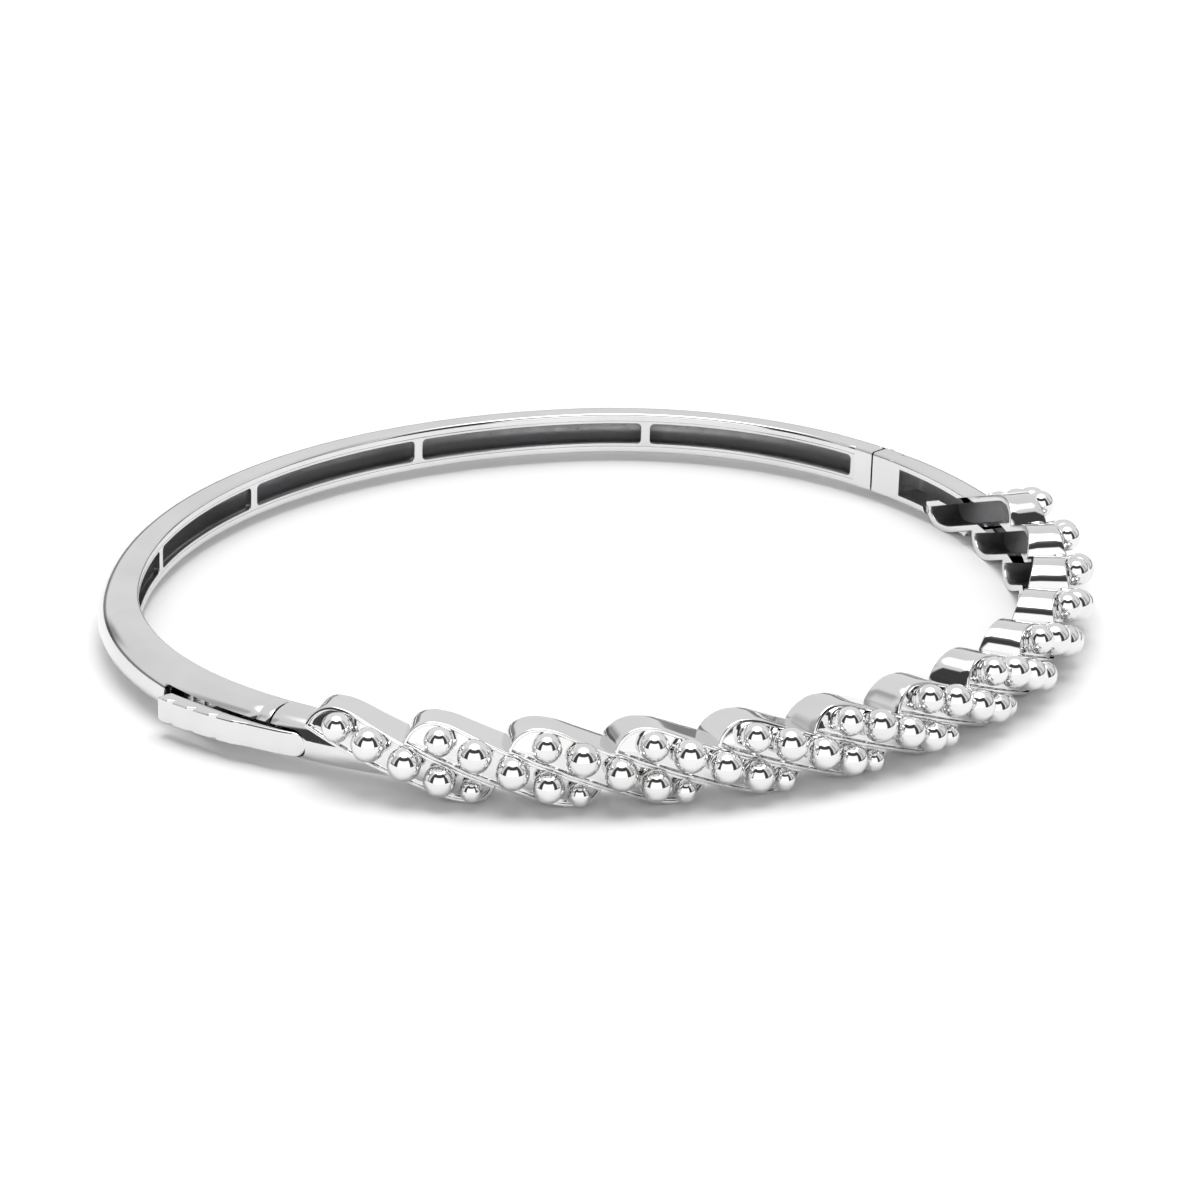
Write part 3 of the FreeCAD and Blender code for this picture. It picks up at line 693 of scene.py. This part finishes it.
# ---------------------------------------------------------------- camera
CAMERA_AZIMUTH, CAMERA_ELEVATION, CAMERA_ROLL = 52.31, 21.34, -1.75      # degrees
CAMERA_PLACE = (-223.176, -172.45, 111.59)
LENS = 141.58
cam_data = bpy.data.cameras.new("camera")
cam_data.lens = LENS
cam_data.clip_start, cam_data.clip_end = 0.01, 10
camera = bpy.data.objects.new("camera", cam_data)
bpy.context.scene.collection.objects.link(camera)
azimuth, elevation, roll = (math.radians(a) for a in (CAMERA_AZIMUTH, CAMERA_ELEVATION, CAMERA_ROLL))
level_forward = Vector((math.sin(azimuth), math.cos(azimuth), 0))
forward = level_forward * math.cos(elevation) - Vector((0, 0, math.sin(elevation)))
level_right = Vector((math.cos(azimuth), -math.sin(azimuth), 0))
level_up = level_right.cross(forward)
right = level_right * math.cos(roll) - level_up * math.sin(roll)
up = level_right * math.sin(roll) + level_up * math.cos(roll)
look = Matrix((right, up, -forward)).transposed().to_4x4()
camera.matrix_world = Matrix.Translation(Vector(CAMERA_PLACE) * MM) @ look
bpy.context.scene.camera = camera

# ---------------------------------------------------------------- floor
bm = bmesh.new()
bmesh.ops.create_grid(bm, x_segments=8, y_segments=8, size=3.0)
floor_mesh = bpy.data.meshes.new("floor_mesh")
bm.to_mesh(floor_mesh)
bm.free()
floor = link("floor", floor_mesh)
floor_mat = bpy.data.materials.new("pale_floor")
floor_mat.use_nodes = True
floor_shader = floor_mat.node_tree.nodes["Principled BSDF"]
floor_shader.inputs["Base Color"].default_value = (0.93, 0.93, 0.93, 1)
floor_shader.inputs["Roughness"].default_value = 0.9
floor_shader.inputs["Specular IOR Level"].default_value = 0.1
floor_mesh.materials.append(floor_mat)

# ---------------------------------------------------------------- studio: a white tent with darker places
world = bpy.data.worlds.new("studio")
bpy.context.scene.world = world
world.use_nodes = True
wn, wl = world.node_tree.nodes, world.node_tree.links


def math_node(operation, *values):
    node = wn.new("ShaderNodeMath")
    node.operation = operation
    for i, value in enumerate(values):
        if isinstance(value, (int, float)):
            node.inputs[i].default_value = value
        else:
            wl.new(value, node.inputs[i])
    return node.outputs[0]


def step(value, low, high, out_low=0.0, out_high=1.0):
    node = wn.new("ShaderNodeMapRange")
    node.interpolation_type = "SMOOTHSTEP"
    node.inputs["From Min"].default_value = low
    node.inputs["From Max"].default_value = high
    node.inputs["To Min"].default_value = out_low
    node.inputs["To Max"].default_value = out_high
    wl.new(value, node.inputs["Value"])
    return node.outputs["Result"]


def strip(value, low, high, soft):
    """1 between low and high, falling to 0 over soft."""
    rising = step(value, low - soft, low + soft)
    return math_node("MULTIPLY", rising, step(value, high - soft, high + soft, 1.0, 0.0))


turned = wn.new("ShaderNodeVectorRotate")
turned.rotation_type = "Z_AXIS"
turned.inputs["Angle"].default_value = math.radians(90 + CAMERA_AZIMUTH)
wl.new(wn.new("ShaderNodeTexCoord").outputs["Generated"], turned.inputs["Vector"])
split = wn.new("ShaderNodeSeparateXYZ")
wl.new(turned.outputs["Vector"], split.inputs["Vector"])
side_angle = math_node("ARCTAN2", split.outputs["Y"], split.outputs["X"])
height_angle = math_node("ARCSINE", split.outputs["Z"])
away = math_node("ABSOLUTE", side_angle)            # radians to either side of the camera's direction


def patch(side0, side1, side_soft, height0, height1, height_soft):
    """Mask of a soft-edged patch of the studio, mirrored left and right of the camera, in radians."""
    sideways = strip(away, side0, side1, side_soft)
    return math_node("MULTIPLY", sideways, strip(height_angle, height0, height1, height_soft))


def shade(value, mask, amount):
    return math_node("MULTIPLY", value, math_node("SUBTRACT", 1.0, math_node("MULTIPLY", mask, amount)))


WALLS, SOFT_BOX, WINDOW_GLOW = 0.84, 4.3, 0.45
level = step(height_angle, 1.0, 1.3, WALLS, SOFT_BOX)
arch = patch(-1.0, 1.2, 0.05, -0.04, 1.22, 0.05)            # dark surround of the camera's side
window = patch(-1.0, 0.75, 0.04, -0.24, 0.77, 0.04)         # bright opening within it
level = shade(level, math_node("MULTIPLY", arch, math_node("SUBTRACT", 1.0, window)), 0.93)
level = math_node("ADD", level, math_node("MULTIPLY", math_node("MULTIPLY", window, arch), WINDOW_GLOW))
level = shade(level, patch(1.42, 1.72, 0.12, -0.1, 0.85, 0.1), 0.45)         # side cards
level = shade(level, patch(2.3, 2.5, 0.08, -0.1, 0.3, 0.1), 0.6)             # low cards at the back
level = shade(level, patch(1.2, 4.0, 0.1, -0.03, 0.12, 0.04), 0.7)           # edge of the table
background = wn["Background"]
background.inputs["Color"].default_value = (1, 1, 1, 1)
wl.new(level, background.inputs["Strength"])

bpy.context.scene.view_settings.view_transform = "Standard"
bpy.context.scene.view_settings.look = "None"
